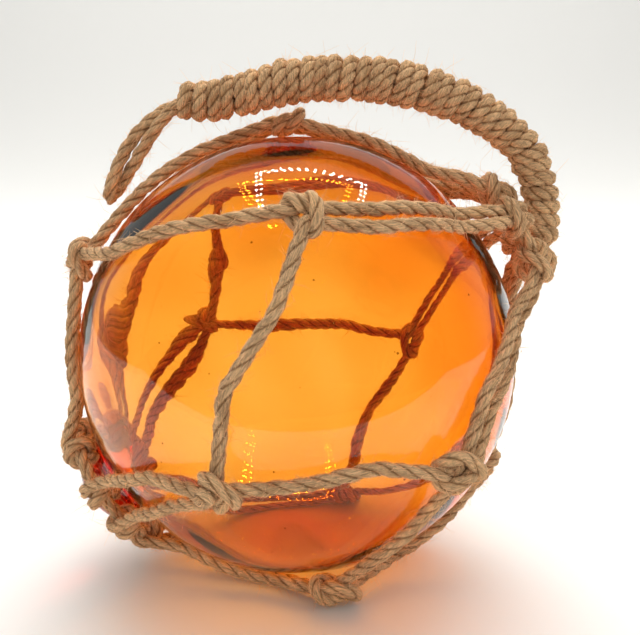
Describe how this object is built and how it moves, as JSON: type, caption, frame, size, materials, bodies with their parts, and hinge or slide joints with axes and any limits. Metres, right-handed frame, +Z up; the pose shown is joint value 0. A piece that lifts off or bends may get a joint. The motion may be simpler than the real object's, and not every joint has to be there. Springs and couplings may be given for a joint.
{
  "type": "glass float ball",
  "caption": "Amber glass float ball in a knotted jute net, with a whipped jute carrying handle.",
  "frame": {"origin": "on the floor, at the middle of the small flat spot on which the glass rests", "axes": "+Z up; the net's crown and the root of the handle are up on the +X side, the seal button is low on the -X side, and +Y runs across the handle"},
  "size_m": [0.174, 0.161, 0.1786],
  "materials": {
    "amber_glass": "clear amber hand-blown glass, smooth and glossy, with a few seeds and faint waves",
    "net_jute": "three-strand jute cord, natural tan, matte and hairy",
    "whipping_jute": "three-strand jute cord wound tight, natural tan, matte and hairy"
  },
  "bodies": {
    "root": {"glass_ball": "amber_glass", "crown_ring": "net_jute", "base_ring": "net_jute", "net_cord_1": "net_jute", "net_cord_2": "net_jute", "net_cord_3": "net_jute", "net_cord_4": "net_jute", "net_cord_5": "net_jute", "net_cord_6": "net_jute", "handle_cord": "net_jute", "handle_whipping": "whipping_jute"}
  },
  "joints": []
}
